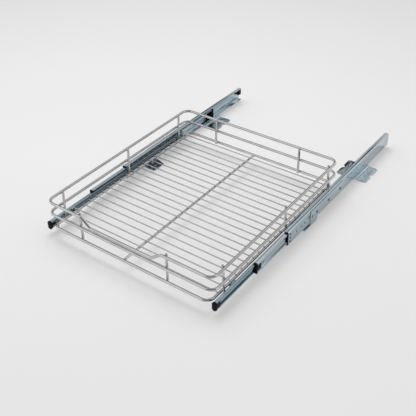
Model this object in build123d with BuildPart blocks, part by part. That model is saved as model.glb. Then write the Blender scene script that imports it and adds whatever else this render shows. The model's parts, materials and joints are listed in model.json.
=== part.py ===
"""Pull-out cabinet organizer: a chrome wire basket on a pair of floor-standing ball-bearing slides.

Millimetres. +X is to the right, +Y runs back into the cabinet and +Z is up. The origin is on the
cabinet floor, midway between the two front feet, on the line of their middle screw holes.
The basket stands partly pulled out. Slide sections are drawn in two directions: u runs inwards from
the outer face of the cabinet rail, and v runs up from the middle of the slide's height.
"""
from build123d import *
import os

# Basket, ring sizes from wire centre to wire centre
basket_width = 442.0
basket_depth = 500.0
bottom_ring_inset = 9.5
ring_wire = 6.5
ring_corner = 18.0
top_ring_z = 90.5
middle_ring_z = 58.8
bottom_ring_z = 25.8
weld_gap = 0.05

# Dip along the front of the top ring
dip_centre_x = -12.0
dip_half_low = 82.0
dip_half_high = 108.0
dip_drop = 20.0
dip_bend = 12.0

# Posts
post_wire = 5.8
post_proud = 3.6
post_tail = 2.4
front_post_half = 117.0
rear_post_half = 122.0
left_post_setbacks = (42.0, 259.5, 457.0)
right_post_setbacks = (42.0, 275.5, 467.0)

# Basket floor
floor_wire = 3.0
floor_wire_pitch = 21.3
floor_wire_first = 29.4
floor_wire_count = 22
floor_wire_overhang = 1.5
centre_bar_wire = 6.0
centre_bar_x = -8.0

# Slides: where they stand and how far the basket is pulled out
basket_side_gap = 9.5
slide_thickness = 15.0
slide_z = 23.5
foot_screw_to_rail_front = 89.5
pull_out = 258.0
basket_rail_setback = 2.0

# Cabinet rail section
cabinet_half_height = 17.5
cabinet_flange = 11.0
cabinet_sheet = 1.2
cabinet_bend = 2.4
cabinet_line_u = 7.8
cabinet_line_r = 1.5
cabinet_line_depth = 0.6
cabinet_rail_length = 508.0
web_hole_r = 1.7
web_hole_setback = 7.0
web_hole_rise = 9.5
web_far_hole_r = 2.1
web_far_hole_setbacks = (35.0, 57.0, 72.0)

# Middle rail section
middle_half_height = 13.5
middle_sheet = 1.0
middle_bend = 1.6
middle_face_u = 2.4
middle_lip_u = 11.8
middle_web_recess = 2.5
middle_race_depth = 4.6
middle_rail_length = 475.0
middle_rail_setback = 11.0
middle_hole_setback = 26.0
middle_hole_r = 2.0

# Basket rail section
basket_half_height = 9.0
basket_sheet = 1.2
basket_bend = 1.6
basket_lip_u = 7.2
basket_strip = 5.0
basket_groove_slope = 1.2
basket_groove_depth = 4.6
basket_rail_length = 482.0

# Balls and their cages
outer_ball_r = 1.85
outer_ball_u = 5.0
inner_ball_r = 2.1
inner_ball_u = 9.6
ball_clearance = 0.1
cage_hole_clearance = 0.15
balls_per_row = 4
cage_length = 210.0
cage_end_margin = 15.0
cage_bend = 1.0
outer_cage_sheet = 0.5
outer_cage_web_gap = 0.35
outer_cage_lip_u = 7.6
inner_cage_sheet = 0.5
inner_cage_web_gap = 0.25
inner_cage_lip_u = 12.4
outer_cage_setback = 75.0
inner_cage_setback = 66.0

# Black plastic guides, stops, bumper and end cap
guide_length = 8.0
guide_web = 0.75
guide_flange = 1.3
guide_lip = 1.2
guide_lip_inset = 0.3
guide_flange_u = 10.6
front_stop_plate = 3.0
front_stop_plug = 14.0
front_stop_gap = 0.5
rear_stop_length = 10.0
rear_stop_inset = 0.3
bumper_length = 10.5
bumper_u = 9.6
bumper_top_v = 14.5
bumper_height = 16.0
bumper_round = 2.0
cap_length = 4.5
cap_spigot = 12.0
cap_tongue_half = 1.8
cap_overhang = 1.5
cap_corner = 3.0
cap_edge = 0.8
cap_fit = 0.1

# Front bracket and its foot
bracket_sheet = 2.0
bracket_setback = 5.0
bracket_length = 158.0
bracket_top_v = 15.0
bracket_bottom_v = -9.5
bracket_corner = 4.0
bracket_tab_length = 27.0
bracket_tab_slope = 8.0
foot_length = 38.0
foot_reach = 42.0
foot_corner = 4.0
foot_hole_r = 2.2
foot_hole_pitch = 12.7
foot_hole_inset = 27.0
foot_slot_inset = 12.0
foot_slot_length = 9.0
foot_slot_width = 4.0

# Rear foot
rear_foot_spacing = 268.0
rear_foot_length = 72.0
rear_foot_sheet = 2.0
rear_foot_inner_reach = 52.0
rear_foot_outer_reach = 28.0
rear_foot_inner_step = 17.0
rear_foot_outer_step = 4.5
rear_foot_bend = 2.4
rear_foot_corner = 6.0
rear_hole_r = 2.2
rear_hole_pitch = 36.0
rear_inner_hole_reach = 38.0
rear_outer_hole_reach = 17.0
rear_small_hole_r = 1.7
rear_small_hole_pitch = 18.0
rear_small_inner_hole_reach = 31.0
rear_small_outer_hole_reach = 11.5
rear_foot_notch = 10.0
rear_foot_notch_turn = 45.0

# Rivets
rivet_r = 2.0
rivet_head_r = 3.4
rivet_head = 1.2
rivet_fit = 0.05
bracket_rivet_setbacks = (10.0, 32.0, 88.0, 144.0)
bracket_rivet_v = -1.5
foot_rivet_u = 8.6
foot_rivet_pitch = 44.0

# Clips that hold the bottom ring on the basket rail, and their screws
clip_sheet = 1.5
clip_bend = 2.0
clip_length = 13.0
clip_height = 11.2
clip_tuck = 3.4
front_clip_setback = 64.5
rear_clip_setback = 471.0
clip_screw_r = 1.2
clip_screw_head_r = 2.4
clip_screw_head = 1.6
clip_screw_fit = 0.05
clip_screw_v = 6.2

overrun = 1.0

# Places across the width, worked out from the sizes above
ring_bottom_half_x = basket_width / 2 - bottom_ring_inset
basket_web_x = ring_bottom_half_x + basket_side_gap
slide_outer_x = basket_web_x + slide_thickness
foot_hole_x = slide_outer_x - foot_hole_inset
foot_slot_x = slide_outer_x - foot_slot_inset
rear_foot_inner_x = slide_outer_x - rear_foot_inner_reach
rear_foot_outer_x = slide_outer_x + rear_foot_outer_reach
rear_foot_inner_step_x = slide_outer_x - rear_foot_inner_step
rear_foot_outer_step_x = slide_outer_x + rear_foot_outer_step
rear_hole_places = (slide_outer_x - rear_inner_hole_reach, slide_outer_x + rear_outer_hole_reach)
rear_small_hole_places = (
    slide_outer_x - rear_small_inner_hole_reach,
    slide_outer_x + rear_small_outer_hole_reach,
)

# Places along the depth, worked out from the sizes above
rail_front = -foot_screw_to_rail_front
rail_rear = rail_front + cabinet_rail_length
basket_front = rail_front - pull_out
basket_rear = basket_front + basket_depth
basket_rail_front = basket_front + basket_rail_setback
middle_rail_front = rail_front + middle_rail_setback - pull_out / 2
middle_rail_rear = middle_rail_front + middle_rail_length
outer_cage_front = rail_front + outer_cage_setback
inner_cage_front = middle_rail_front + inner_cage_setback
bracket_front = bracket_setback
foot_front = -foot_length / 2
rear_foot_y = rear_foot_spacing
ring_r = ring_wire / 2
post_r = post_wire / 2
floor_r = floor_wire / 2
bar_r = centre_bar_wire / 2

# Section places worked out from the sizes above
cabinet_inner_v = cabinet_half_height - cabinet_sheet
middle_inner_v = middle_half_height - middle_sheet
middle_web_u = middle_face_u + middle_web_recess
middle_web_inner_u = middle_web_u + middle_sheet
outer_ball_v = (cabinet_inner_v + middle_half_height) / 2
inner_ball_v = (middle_inner_v + basket_half_height) / 2
outer_race_r = outer_ball_r + ball_clearance
inner_race_r = inner_ball_r + ball_clearance
middle_race_v = middle_half_height - middle_race_depth
basket_groove_v = basket_half_height - basket_strip
basket_web_v = basket_groove_v - basket_groove_slope
basket_web_u = slide_thickness - basket_groove_depth
rail_bottom_z = slide_z - cabinet_half_height

os.makedirs("parts", exist_ok=True)
ball_rows = (-1, 1)


def save(piece, name):
    """Label a finished piece and write it to its own file."""
    piece.label = name
    export_step(piece, f"parts/{name}.step")


def save_both_sides(right_piece, name):
    """Write the right-hand piece, and its mirror image for the left side."""
    save(right_piece, f"right_{name}")
    with BuildPart() as left:
        mirror(right_piece, about=Plane.YZ)
    save(left.part, f"left_{name}")


def section_plane(y):
    """Plane of a slide section at depth y: local x is u, local y is v, extrusions run back."""
    return Plane(origin=(slide_outer_x, y, slide_z), x_dir=(-1, 0, 0), z_dir=(0, 1, 0))


def web_plane(u=0):
    """Plane on a web seen from outside: local x is the depth, local y is v, extrusions run outwards."""
    return Plane(origin=(slide_outer_x - u, 0, slide_z), x_dir=(0, 1, 0), z_dir=(1, 0, 0))


def wire_along(start, end, radius):
    """Straight round wire between two points."""
    run = Vector(end) - Vector(start)
    with BuildPart() as wire:
        with BuildSketch(Plane(origin=start, z_dir=run)):
            Circle(radius)
        extrude(amount=run.length)
    return wire.part


def wire_ring(points, radii):
    """Closed ring of wire through the points, with a bend radius at each."""
    with BuildPart() as ring:
        with BuildLine() as path:
            FilletPolyline(*points, radius=radii, close=True)
        with BuildSketch(Plane(origin=path.wire() @ 0, z_dir=path.wire() % 0)):
            Circle(ring_r)
        sweep(path=path.wire())
    return ring.part


# Basket rings: the side posts stand inside the two upper rings and outside the bottom ring
top_half = basket_width / 2
post_offset = ring_r + post_r + weld_gap
side_post_top_x = top_half - post_offset
side_post_bottom_x = ring_bottom_half_x + post_offset
side_post_slope = (side_post_bottom_x - side_post_top_x) / (top_ring_z - bottom_ring_z)
middle_half = side_post_top_x + side_post_slope * (top_ring_z - middle_ring_z) + post_offset
front_run = [
    (-top_half, basket_front, top_ring_z),
    (dip_centre_x - dip_half_high, basket_front, top_ring_z),
    (dip_centre_x - dip_half_low, basket_front, top_ring_z - dip_drop),
    (dip_centre_x + dip_half_low, basket_front, top_ring_z - dip_drop),
    (dip_centre_x + dip_half_high, basket_front, top_ring_z),
    (top_half, basket_front, top_ring_z),
]
rear_run = [(top_half, basket_rear, top_ring_z), (-top_half, basket_rear, top_ring_z)]
dip_radii = [dip_bend] * (len(front_run) - len(rear_run))
top_ring = wire_ring(front_run + rear_run, [ring_corner] + dip_radii + [ring_corner] * (len(rear_run) + 1))
save(top_ring, "top_ring")

for ring_name, ring_z, half in (
    ("middle_ring", middle_ring_z, middle_half),
    ("bottom_ring", bottom_ring_z, ring_bottom_half_x),
):
    corners = [
        (-half, basket_front, ring_z),
        (half, basket_front, ring_z),
        (half, basket_rear, ring_z),
        (-half, basket_rear, ring_z),
    ]
    save(wire_ring(corners, [ring_corner] * len(corners)), ring_name)

# Posts, welded to the rings
post_top_z = top_ring_z + post_proud
post_bottom_z = bottom_ring_z - post_tail
post_top_x = side_post_top_x - side_post_slope * post_proud
post_bottom_x = side_post_bottom_x + side_post_slope * post_tail
front_post_y = basket_front + post_offset
rear_post_y = basket_rear - post_offset
for side_name, side, setbacks in (("left", -1, left_post_setbacks), ("right", 1, right_post_setbacks)):
    for end_name, post_x, post_y in (
        ("front", dip_centre_x + side * front_post_half, front_post_y),
        ("rear", side * rear_post_half, rear_post_y),
    ):
        post = wire_along((post_x, post_y, post_bottom_z), (post_x, post_y, post_top_z), post_r)
        save(post, f"{end_name}_post_{side_name}")
    for place_name, setback in zip(("front", "middle", "rear"), setbacks):
        foot_point = (side * post_bottom_x, basket_front + setback, post_bottom_z)
        head_point = (side * post_top_x, basket_front + setback, post_top_z)
        save(wire_along(foot_point, head_point, post_r), f"{side_name}_post_{place_name}")

# Basket floor: cross wires on top of the bottom ring, and the bar that they are welded to
floor_wire_z = bottom_ring_z + ring_r + floor_r + weld_gap
floor_half = ring_bottom_half_x + floor_wire_overhang
with BuildPart() as floor_wires:
    for number in range(floor_wire_count):
        wire_y = basket_front + floor_wire_first + number * floor_wire_pitch
        with BuildSketch(Plane(origin=(-floor_half, wire_y, floor_wire_z), z_dir=(1, 0, 0))):
            Circle(floor_r)
        extrude(amount=floor_half * 2)
save(floor_wires.part, "floor_wires")

bar_z = floor_wire_z - floor_r - bar_r - weld_gap
bar_inset = ring_r + weld_gap
centre_bar = wire_along(
    (centre_bar_x, basket_front + bar_inset, bar_z), (centre_bar_x, basket_rear - bar_inset, bar_z), bar_r
)
save(centre_bar, "centre_bar")

# Cabinet rail: the fixed member, a channel open inwards with a ball race and a pressed line in each flange
with BuildPart() as cabinet_rail:
    with BuildSketch(section_plane(rail_front)):
        with BuildLine():
            FilletPolyline(
                (cabinet_flange, cabinet_half_height),
                (0, cabinet_half_height),
                (0, -cabinet_half_height),
                (cabinet_flange, -cabinet_half_height),
                radius=cabinet_bend,
            )
            offset(amount=cabinet_sheet, side=Side.LEFT)
        make_face()
        with Locations(*[(outer_ball_u, row * outer_ball_v) for row in ball_rows]):
            Circle(outer_race_r, mode=Mode.SUBTRACT)
        line_v = cabinet_half_height - cabinet_line_depth + cabinet_line_r
        with Locations(*[(cabinet_line_u, row * line_v) for row in ball_rows]):
            Circle(cabinet_line_r, mode=Mode.SUBTRACT)
    extrude(amount=cabinet_rail_length)
    with BuildSketch(web_plane()):
        hole_y = rail_front + web_hole_setback
        with Locations((hole_y, 0), (hole_y, web_hole_rise), (hole_y, -web_hole_rise)):
            Circle(web_hole_r)
        with Locations(*[(rail_front + setback, 0) for setback in web_far_hole_setbacks]):
            Circle(web_far_hole_r)
        with Locations(*[(bracket_front + back, bracket_rivet_v) for back in bracket_rivet_setbacks]):
            Circle(rivet_r + rivet_fit)
    extrude(amount=-cabinet_sheet - overrun, mode=Mode.SUBTRACT)
    with BuildSketch(Plane.XY.offset(rail_bottom_z)):
        with Locations((slide_outer_x - foot_rivet_u, rear_foot_y)):
            with GridLocations(0, foot_rivet_pitch, 1, 2):
                Circle(rivet_r + rivet_fit)
    extrude(amount=cabinet_sheet + overrun, mode=Mode.SUBTRACT)
save_both_sides(cabinet_rail.part, "cabinet_rail")

# Middle rail: runs inside the cabinet rail, with races outside and inside its flanges
with BuildPart() as middle_rail:
    with BuildSketch(section_plane(middle_rail_front)):
        with BuildLine():
            FilletPolyline(
                (middle_lip_u, middle_half_height),
                (middle_face_u, middle_half_height),
                (middle_face_u, middle_race_v),
                (middle_web_u, middle_race_v - middle_web_recess),
                (middle_web_u, middle_web_recess - middle_race_v),
                (middle_face_u, -middle_race_v),
                (middle_face_u, -middle_half_height),
                (middle_lip_u, -middle_half_height),
                radius=middle_bend,
            )
            offset(amount=middle_sheet, side=Side.LEFT)
        make_face()
        with Locations(*[(outer_ball_u, row * outer_ball_v) for row in ball_rows]):
            Circle(outer_race_r, mode=Mode.SUBTRACT)
        with Locations(*[(inner_ball_u, row * inner_ball_v) for row in ball_rows]):
            Circle(inner_race_r, mode=Mode.SUBTRACT)
    extrude(amount=middle_rail_length)
    with BuildSketch(web_plane(middle_face_u)):
        with Locations((middle_rail_front + middle_hole_setback, 0)):
            Circle(middle_hole_r)
    extrude(amount=-middle_web_recess - middle_sheet - overrun, mode=Mode.SUBTRACT)
save_both_sides(middle_rail.part, "middle_rail")

# Basket rail: the innermost member, open outwards, its web folded out to leave a groove along the inner face
clip_screw_places = [
    (basket_front + setback + clip_length / 2, clip_screw_v) for setback in (front_clip_setback, rear_clip_setback)
]
with BuildPart() as basket_rail:
    with BuildSketch(section_plane(basket_rail_front)):
        with BuildLine():
            FilletPolyline(
                (basket_lip_u, -basket_half_height),
                (slide_thickness, -basket_half_height),
                (slide_thickness, -basket_groove_v),
                (basket_web_u, -basket_web_v),
                (basket_web_u, basket_web_v),
                (slide_thickness, basket_groove_v),
                (slide_thickness, basket_half_height),
                (basket_lip_u, basket_half_height),
                radius=basket_bend,
            )
            offset(amount=basket_sheet, side=Side.LEFT)
        make_face()
        with Locations(*[(inner_ball_u, row * inner_ball_v) for row in ball_rows]):
            Circle(inner_race_r, mode=Mode.SUBTRACT)
    extrude(amount=basket_rail_length)
    with BuildSketch(web_plane(slide_thickness)):
        with Locations(*clip_screw_places):
            Circle(clip_screw_r + clip_screw_fit)
    extrude(amount=basket_sheet + overrun, mode=Mode.SUBTRACT)
save_both_sides(basket_rail.part, "basket_rail")


def ball_cage(front, web_u, lip_u, middle_v, sheet, hole_u, hole_r):
    """Thin channel that keeps two rows of balls at an even pitch."""
    half = middle_v + sheet / 2
    with BuildPart() as cage:
        with BuildSketch(section_plane(front)):
            with BuildLine():
                FilletPolyline((lip_u, half), (web_u, half), (web_u, -half), (lip_u, -half), radius=cage_bend)
                offset(amount=sheet, side=Side.LEFT)
            make_face()
        extrude(amount=cage_length)
        with BuildSketch(Plane.XY.offset(slide_z - half - overrun)):
            with Locations(*[(slide_outer_x - hole_u, y) for y in ball_places(front)]):
                Circle(hole_r)
        extrude(amount=(half + overrun) * 2, mode=Mode.SUBTRACT)
    return cage.part


def ball_places(front):
    """Depths of the balls in a cage that starts at front."""
    pitch = (cage_length - cage_end_margin * 2) / (balls_per_row - 1)
    return [front + cage_end_margin + number * pitch for number in range(balls_per_row)]


def ball_rows_of(front, ball_u, ball_v, radius):
    """Both rows of balls of one cage."""
    with BuildPart() as balls:
        with Locations(*[
            (slide_outer_x - ball_u, y, slide_z + row * ball_v) for row in ball_rows for y in ball_places(front)
        ]):
            Sphere(radius)
    return balls.part


outer_cage = ball_cage(
    outer_cage_front,
    cabinet_sheet + outer_cage_web_gap,
    outer_cage_lip_u,
    outer_ball_v,
    outer_cage_sheet,
    outer_ball_u,
    outer_ball_r + cage_hole_clearance,
)
save_both_sides(outer_cage, "outer_ball_cage")
save_both_sides(ball_rows_of(outer_cage_front, outer_ball_u, outer_ball_v, outer_ball_r), "outer_balls")
inner_cage = ball_cage(
    inner_cage_front,
    middle_web_inner_u + inner_cage_web_gap,
    inner_cage_lip_u,
    inner_ball_v,
    inner_cage_sheet,
    inner_ball_u,
    inner_ball_r + cage_hole_clearance,
)
save_both_sides(inner_cage, "inner_ball_cage")
save_both_sides(ball_rows_of(inner_cage_front, inner_ball_u, inner_ball_v, inner_ball_r), "inner_balls")

# Guide in the front end of the cabinet rail: a plastic lining with a lip over the rail's cut edge
guide_inner_v = cabinet_inner_v - guide_flange
with BuildPart() as front_guide:
    with BuildSketch(section_plane(rail_front)):
        with Locations((cabinet_sheet, 0)):
            Rectangle(guide_flange_u - cabinet_sheet, cabinet_inner_v * 2, align=(Align.MIN, Align.CENTER))
        fillet(vertices().group_by(Axis.X)[0], cabinet_bend - cabinet_sheet)
        with Locations((cabinet_sheet + guide_web, 0)):
            Rectangle(guide_flange_u, guide_inner_v * 2, align=(Align.MIN, Align.CENTER), mode=Mode.SUBTRACT)
        with Locations(*[(outer_ball_u, row * outer_ball_v) for row in ball_rows]):
            Circle(outer_race_r, mode=Mode.SUBTRACT)
    extrude(amount=guide_length)
    with BuildSketch(section_plane(rail_front)):
        lip_half = cabinet_half_height - guide_lip_inset
        with Locations((guide_lip_inset, 0)):
            Rectangle(guide_flange_u - guide_lip_inset, lip_half * 2, align=(Align.MIN, Align.CENTER))
        fillet(vertices().group_by(Axis.X)[0], cabinet_bend - guide_lip_inset)
        with Locations((cabinet_sheet + guide_web, 0)):
            Rectangle(guide_flange_u, guide_inner_v * 2, align=(Align.MIN, Align.CENTER), mode=Mode.SUBTRACT)
    extrude(amount=-guide_lip)
save_both_sides(front_guide.part, "front_guide")

# Stop on the front end of the middle rail: a plate round the basket rail and a plug in the web's recess
stop_opening_u = basket_lip_u - front_stop_gap
stop_opening_v = basket_half_height + front_stop_gap
with BuildPart() as front_stop:
    with BuildSketch(section_plane(middle_rail_front)):
        with Locations((middle_face_u, 0)):
            Rectangle(middle_lip_u - middle_face_u, middle_half_height * 2, align=(Align.MIN, Align.CENTER))
        fillet(vertices(), middle_bend)
        with Locations((stop_opening_u, 0)):
            Rectangle(middle_lip_u, stop_opening_v * 2, align=(Align.MIN, Align.CENTER), mode=Mode.SUBTRACT)
    extrude(amount=-front_stop_plate)
    with BuildSketch(section_plane(middle_rail_front)):
        with BuildLine():
            Polyline(
                (middle_face_u, middle_race_v - middle_bend),
                (middle_web_u - weld_gap, middle_race_v - middle_web_recess - middle_bend),
                (middle_web_u - weld_gap, middle_web_recess + middle_bend - middle_race_v),
                (middle_face_u, middle_bend - middle_race_v),
                close=True,
            )
        make_face()
    extrude(amount=front_stop_plug)
save_both_sides(front_stop.part, "middle_front_stop")

# Stop on the rear end of the middle rail
with BuildPart() as rear_stop:
    with BuildSketch(section_plane(middle_rail_rear)):
        with Locations((middle_face_u, 0)):
            Rectangle(
                middle_lip_u - middle_face_u,
                (middle_half_height - rear_stop_inset) * 2,
                align=(Align.MIN, Align.CENTER),
            )
        fillet(vertices(), middle_bend)
    extrude(amount=rear_stop_length)
save_both_sides(rear_stop.part, "middle_rear_stop")

# Bumper on the web at the cabinet rail's rear end
with BuildPart() as bumper:
    with BuildSketch(section_plane(rail_rear - bumper_length)):
        with Locations((cabinet_sheet, bumper_top_v)):
            Rectangle(bumper_u - cabinet_sheet, bumper_height, align=(Align.MIN, Align.MAX))
        fillet(vertices(), bumper_round)
    extrude(amount=bumper_length)
save_both_sides(bumper.part, "rear_bumper")

# End cap on the front of the basket rail, with a tongue on each side of the web
cap_half = basket_half_height + cap_overhang
with BuildPart() as end_cap:
    with BuildSketch(section_plane(basket_rail_front)):
        with Locations((basket_lip_u - cap_overhang, 0)):
            Rectangle(
                slide_thickness + cap_overhang - basket_lip_u + cap_overhang,
                cap_half * 2,
                align=(Align.MIN, Align.CENTER),
            )
        chamfer(vertices(), cap_corner)
    extrude(amount=-cap_length)
    fillet(faces().sort_by(Axis.Y)[0].edges(), cap_edge)
    with BuildSketch(section_plane(basket_rail_front)):
        with Locations((basket_lip_u, 0)):
            Rectangle(
                basket_web_u - basket_sheet - cap_fit - basket_lip_u,
                (basket_half_height - basket_sheet - cap_fit) * 2,
                align=(Align.MIN, Align.CENTER),
            )
        with Locations((basket_web_u + cap_fit, 0)):
            Rectangle(
                slide_thickness - basket_web_u - cap_fit, cap_tongue_half * 2, align=(Align.MIN, Align.CENTER)
            )
    extrude(amount=cap_spigot)
save_both_sides(end_cap.part, "end_cap")

# Front bracket: a plate on the outer web, with a tab down to the floor and a foot turned in under the rail
plate_rear = bracket_front + bracket_length
tab_rear = bracket_front + bracket_tab_length
bracket_outer_x = slide_outer_x + bracket_sheet
with BuildPart() as bracket:
    with BuildSketch(web_plane()):
        with BuildLine():
            Polyline(
                (bracket_front, -slide_z),
                (bracket_front, bracket_top_v),
                (plate_rear, bracket_top_v),
                (plate_rear, bracket_bottom_v),
                (tab_rear + bracket_tab_slope, bracket_bottom_v),
                (tab_rear, -slide_z),
                close=True,
            )
        make_face()
        fillet(vertices().group_by(Axis.Y)[-1], bracket_corner)
    extrude(amount=bracket_sheet)
    with BuildSketch(Plane.XY):
        with BuildLine():
            Polyline(
                (bracket_outer_x, foot_front),
                (bracket_outer_x - foot_reach, foot_front),
                (bracket_outer_x - foot_reach, foot_front + foot_length),
                (bracket_outer_x, tab_rear),
                close=True,
            )
        make_face()
        fillet(vertices().group_by(Axis.X)[0], foot_corner)
    extrude(amount=bracket_sheet)
    with BuildSketch(web_plane()):
        with Locations(*[(bracket_front + back, bracket_rivet_v) for back in bracket_rivet_setbacks]):
            Circle(rivet_r + rivet_fit)
    extrude(amount=bracket_sheet + overrun, mode=Mode.SUBTRACT)
    with BuildSketch(Plane.XY):
        with Locations((foot_hole_x, 0)):
            with GridLocations(0, foot_hole_pitch, 1, 3):
                Circle(foot_hole_r)
        with Locations((foot_slot_x, 0)):
            with GridLocations(0, foot_hole_pitch, 1, 2):
                SlotOverall(foot_slot_length, foot_slot_width)
    extrude(amount=bracket_sheet + overrun, mode=Mode.SUBTRACT)
save_both_sides(bracket.part, "front_bracket")

# Rear foot: a stepped plate, its raised middle under the rail and its two flanges on the floor
foot_profile = [
    (rear_foot_inner_x, 0),
    (rear_foot_inner_step_x, 0),
    (rear_foot_inner_step_x + rear_foot_sheet, rail_bottom_z - rear_foot_sheet),
    (rear_foot_outer_step_x - rear_foot_sheet, rail_bottom_z - rear_foot_sheet),
    (rear_foot_outer_step_x, 0),
    (rear_foot_outer_x, 0),
]
with BuildPart() as rear_foot:
    with BuildSketch(Plane(origin=(0, rear_foot_y - rear_foot_length / 2, 0), x_dir=(1, 0, 0), z_dir=(0, -1, 0))):
        with BuildLine():
            FilletPolyline(*foot_profile, radius=rear_foot_bend)
            offset(amount=rear_foot_sheet, side=Side.LEFT)
        make_face()
    extrude(amount=-rear_foot_length)
    fillet(edges().filter_by(Axis.Z), rear_foot_corner)
    with BuildSketch(Plane.XY):
        for row_x in rear_hole_places:
            with Locations((row_x, rear_foot_y)):
                with GridLocations(0, rear_hole_pitch, 1, 2):
                    Circle(rear_hole_r)
        for row_x in rear_small_hole_places:
            with Locations((row_x, rear_foot_y)):
                with GridLocations(0, rear_small_hole_pitch, 1, 2):
                    Circle(rear_small_hole_r)
        with Locations((rear_foot_inner_x, rear_foot_y), (rear_foot_outer_x, rear_foot_y)):
            Rectangle(rear_foot_notch, rear_foot_notch, rotation=rear_foot_notch_turn)
        with Locations((slide_outer_x - foot_rivet_u, rear_foot_y)):
            with GridLocations(0, foot_rivet_pitch, 1, 2):
                Circle(rivet_r + rivet_fit)
    extrude(amount=rail_bottom_z + overrun, mode=Mode.SUBTRACT)
save_both_sides(rear_foot.part, "rear_foot")

# Rivets: the bracket's go through the web, the rear foot's go up through the rail's lower flange
with BuildPart() as bracket_rivets:
    with BuildSketch(web_plane(cabinet_sheet)):
        with Locations(*[(bracket_front + back, bracket_rivet_v) for back in bracket_rivet_setbacks]):
            Circle(rivet_r)
    extrude(amount=cabinet_sheet + bracket_sheet)
    with BuildSketch(web_plane(-bracket_sheet)):
        with Locations(*[(bracket_front + back, bracket_rivet_v) for back in bracket_rivet_setbacks]):
            Circle(rivet_head_r)
    extrude(amount=rivet_head)
    fillet(edges().filter_by(GeomType.CIRCLE).group_by(Axis.X)[-1], rivet_head / 2)
save_both_sides(bracket_rivets.part, "bracket_rivets")

with BuildPart() as foot_rivets:
    with BuildSketch(Plane.XY.offset(rail_bottom_z - rear_foot_sheet)):
        with Locations((slide_outer_x - foot_rivet_u, rear_foot_y)):
            with GridLocations(0, foot_rivet_pitch, 1, 2):
                Circle(rivet_r)
    extrude(amount=rear_foot_sheet + cabinet_sheet)
    with BuildSketch(Plane.XY.offset(rail_bottom_z - rear_foot_sheet)):
        with Locations((slide_outer_x - foot_rivet_u, rear_foot_y)):
            with GridLocations(0, foot_rivet_pitch, 1, 2):
                Circle(rivet_head_r)
    extrude(amount=-rivet_head)
save_both_sides(foot_rivets.part, "foot_rivets")

# Clips: an angle on the basket rail's web whose shelf lies under the bottom ring
clip_shelf_z = bottom_ring_z - ring_r - weld_gap
shelf_x = ring_bottom_half_x - clip_tuck
for clip_name, setback in (("front_clip", front_clip_setback), ("rear_clip", rear_clip_setback)):
    clip_front = basket_front + setback
    with BuildPart() as clip:
        with BuildSketch(Plane(origin=(0, clip_front, 0), x_dir=(1, 0, 0), z_dir=(0, -1, 0))):
            with BuildLine():
                FilletPolyline(
                    (shelf_x, clip_shelf_z - clip_sheet),
                    (basket_web_x, clip_shelf_z - clip_sheet),
                    (basket_web_x, clip_shelf_z - clip_sheet + clip_height),
                    radius=clip_bend,
                )
                offset(amount=clip_sheet, side=Side.LEFT)
            make_face()
        extrude(amount=-clip_length)
        with BuildSketch(web_plane(slide_thickness)):
            with Locations((clip_front + clip_length / 2, clip_screw_v)):
                Circle(clip_screw_r + clip_screw_fit)
        extrude(amount=-clip_sheet - overrun, mode=Mode.SUBTRACT)
    save_both_sides(clip.part, clip_name)

with BuildPart() as clip_screws:
    with BuildSketch(web_plane(slide_thickness + clip_sheet)):
        with Locations(*clip_screw_places):
            Circle(clip_screw_r)
    extrude(amount=clip_sheet + basket_sheet)
    with BuildSketch(web_plane(slide_thickness + clip_sheet)):
        with Locations(*clip_screw_places):
            Circle(clip_screw_head_r)
    extrude(amount=-clip_screw_head)
save_both_sides(clip_screws.part, "clip_screws")
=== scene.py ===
"""Looks of the pull-out cabinet organizer: chrome wire basket, zinc-plated slides and black plastic ends.

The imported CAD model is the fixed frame. Wires, weld beads, plastic ends, sheet metal and fasteners are
modelled over it, and a pale studio stands round it. Metres; +Y runs back into the cabinet.
"""
import json
from math import ceil, cos, pi, radians, sin, tan

import bmesh
import bpy
from bpy.props import FloatProperty, FloatVectorProperty, IntProperty, PointerProperty
from mathutils import Matrix, Vector


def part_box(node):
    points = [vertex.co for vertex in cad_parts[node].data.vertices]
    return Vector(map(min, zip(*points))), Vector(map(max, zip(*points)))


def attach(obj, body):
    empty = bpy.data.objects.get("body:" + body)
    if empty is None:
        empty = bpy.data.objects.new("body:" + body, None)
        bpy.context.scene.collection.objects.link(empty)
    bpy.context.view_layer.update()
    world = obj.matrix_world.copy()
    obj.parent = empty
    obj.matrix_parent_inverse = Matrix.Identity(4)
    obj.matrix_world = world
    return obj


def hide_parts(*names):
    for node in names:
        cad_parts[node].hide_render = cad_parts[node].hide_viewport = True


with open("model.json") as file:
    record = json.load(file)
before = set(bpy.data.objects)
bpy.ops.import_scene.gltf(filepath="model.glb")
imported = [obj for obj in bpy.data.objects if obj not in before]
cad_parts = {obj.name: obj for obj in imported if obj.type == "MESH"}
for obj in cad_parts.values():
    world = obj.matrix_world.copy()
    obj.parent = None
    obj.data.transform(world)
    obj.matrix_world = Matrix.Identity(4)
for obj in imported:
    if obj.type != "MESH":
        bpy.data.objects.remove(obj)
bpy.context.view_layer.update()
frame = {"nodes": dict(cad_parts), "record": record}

bl_info = {
    "name": "Pull-out cabinet organizer",
    "version": (1, 0, 0),
    "blender": (4, 5, 0),
    "location": "3D View > Sidebar > Organizer",
    "description": "Models the looks of a wire basket on ball-bearing slides over its CAD frame",
    "category": "Object",
}

MM = 0.001
RIGHT = (1, 0, 0)
UP = (0, 0, 1)
WHITE = (1.0, 1.0, 1.0, 1.0)

# Names of the frame's nodes and slots
SIDES = (("left", -1), ("right", 1))
SIDE_NAMES = tuple(name for name, side in SIDES)
RINGS = ("top_ring", "middle_ring", "bottom_ring")
PLASTIC_ENDS = ("end_cap", "front_guide", "front_stop", "rear_stop", "rear_bumper")
SHEET_SLOTS = ("zinc_steel", "bearing_steel", "fastener_steel")

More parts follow.
